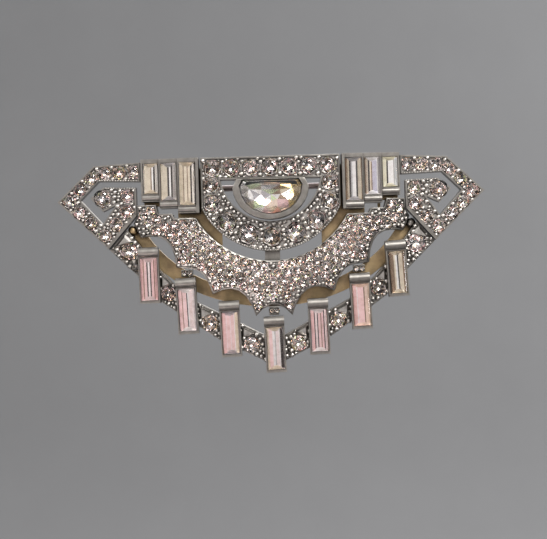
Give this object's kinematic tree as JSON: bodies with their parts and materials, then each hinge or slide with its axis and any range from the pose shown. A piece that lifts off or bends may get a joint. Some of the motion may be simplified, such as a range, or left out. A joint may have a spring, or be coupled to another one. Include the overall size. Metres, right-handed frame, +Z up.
{
  "type": "brooch",
  "caption": "Fan-shaped rhinestone dress brooch with a half-moon centre, key-pattern wings, baguette fringe, hinged pin and safety catch.",
  "frame": {"origin": "middle of the pin stem, where the cloth holds the brooch", "axes": "+X along the pin stem towards the catch, -Y out of the stone-set face, +Z up as the brooch is worn"},
  "size_m": [0.068, 0.0103, 0.0343],
  "materials": {
    "rhodium": "tarnished rhodium plate on cast white metal",
    "crystal": "foil-backed clear cut glass with champagne and pink glints",
    "pink_crystal": "foil-backed step-cut glass that reads pink",
    "brass": "dull unplated brass",
    "steel": "drawn wire, slightly dulled"
  },
  "bodies": {
    "brooch": {"catch_back_plate": "brass", "catch_base": "brass", "center_panel": "rhodium", "center_panel_chatons": "crystal", "fringe_baguette_1": "pink_crystal", "fringe_baguette_2": "pink_crystal", "fringe_baguette_3": "pink_crystal", "fringe_baguette_4": "pink_crystal", "fringe_baguette_5": "pink_crystal", "fringe_baguette_6": "pink_crystal", "fringe_baguette_7": "pink_crystal", "fringe_chaton_1": "crystal", "fringe_chaton_2": "crystal", "fringe_chaton_3": "crystal", "fringe_chaton_4": "crystal", "fringe_chaton_5": "crystal", "fringe_chaton_6": "crystal", "fringe_chaton_7": "crystal", "fringe_chaton_8": "crystal", "fringe_frame": "rhodium", "fringe_link_1": "rhodium", "fringe_link_2": "rhodium", "fringe_link_3": "rhodium", "fringe_setting_1": "rhodium", "fringe_setting_2": "rhodium", "fringe_setting_3": "rhodium", "fringe_setting_4": "rhodium", "fringe_setting_5": "rhodium", "fringe_setting_6": "rhodium", "fringe_setting_7": "rhodium", "half_moon_bezel": "rhodium", "half_moon_stone": "crystal", "hinge_back_plate": "brass", "hinge_bracket": "brass", "hinge_rivet": "steel", "left_channel_box": "rhodium", "left_top_baguette_1": "crystal", "left_top_baguette_2": "crystal", "left_top_baguette_3": "crystal", "left_wing_chatons": "crystal", "left_wing_frame": "rhodium", "pave_chatons": "crystal", "pave_crescent": "rhodium", "rear_arc_strap": "brass", "right_channel_box": "rhodium", "right_top_baguette_1": "crystal", "right_top_baguette_2": "crystal", "right_top_baguette_3": "crystal", "right_wing_chatons": "crystal", "right_wing_frame": "rhodium"},
    "pin": {"pin_stem": "steel"},
    "catch_rotor": {"catch_collar": "brass"}
  },
  "joints": [
    {"name": "pin_swing", "type": "hinge", "parent": "brooch", "child": "pin", "pos_m": [-0.0172, 0, 0], "axis": [0, 0, 1], "range_deg": [0, 110]},
    {"name": "catch_turn", "type": "hinge", "parent": "brooch", "child": "catch_rotor", "pos_m": [0.0166, 0, 0], "axis": [1, 0, 0], "range_deg": [0, 100]}
  ]
}
